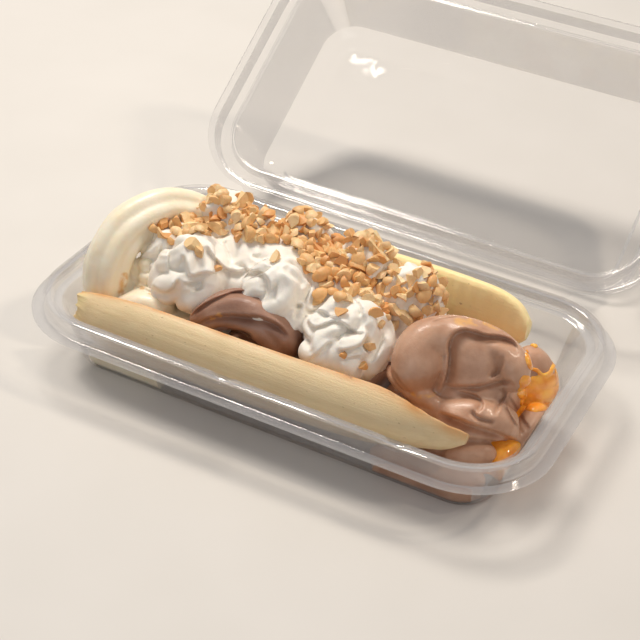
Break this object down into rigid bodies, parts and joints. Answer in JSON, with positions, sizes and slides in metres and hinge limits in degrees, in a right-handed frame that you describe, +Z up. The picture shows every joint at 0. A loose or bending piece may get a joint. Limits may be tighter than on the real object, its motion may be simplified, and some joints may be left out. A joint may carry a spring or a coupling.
{
  "type": "soft serve banana split",
  "caption": "Soft serve banana split with vanilla and chocolate swirls, whipped cream, chopped nuts and caramel, in a clear oblong takeaway container whose hinged lid stands open.",
  "frame": {"origin": "centre of the tray's flat underside, on the table", "axes": "+X along the container's length, +Y towards the hinge and the open lid, +Z up"},
  "size_m": [0.22, 0.2513, 0.0985],
  "materials": {
    "clear_sheet": "clear, glossy thin sheet",
    "banana": "peeled banana, satin, fine lengthwise fibres",
    "vanilla": "vanilla soft serve, satin",
    "chocolate": "chocolate soft serve, moist",
    "caramel": "glossy sauce",
    "cream": "whipped cream with tan chopped peanuts on it"
  },
  "bodies": {
    "tray": {"tray": "clear_sheet", "banana_half_front": "banana", "banana_half_back": "banana", "soft_serve_vanilla": "vanilla", "soft_serve_chocolate_middle": "chocolate", "soft_serve_chocolate_right": "chocolate", "caramel_sauce": "caramel", "whipped_cream_with_peanuts": "cream"},
    "lid": {"lid": "clear_sheet"}
  },
  "joints": [
    {"name": "lid_hinge", "type": "hinge", "parent": "tray", "child": "lid", "pos_m": [0, 0.0689, 0.02445], "axis": [1, 0, 0], "range_deg": [0, 146.5]}
  ]
}
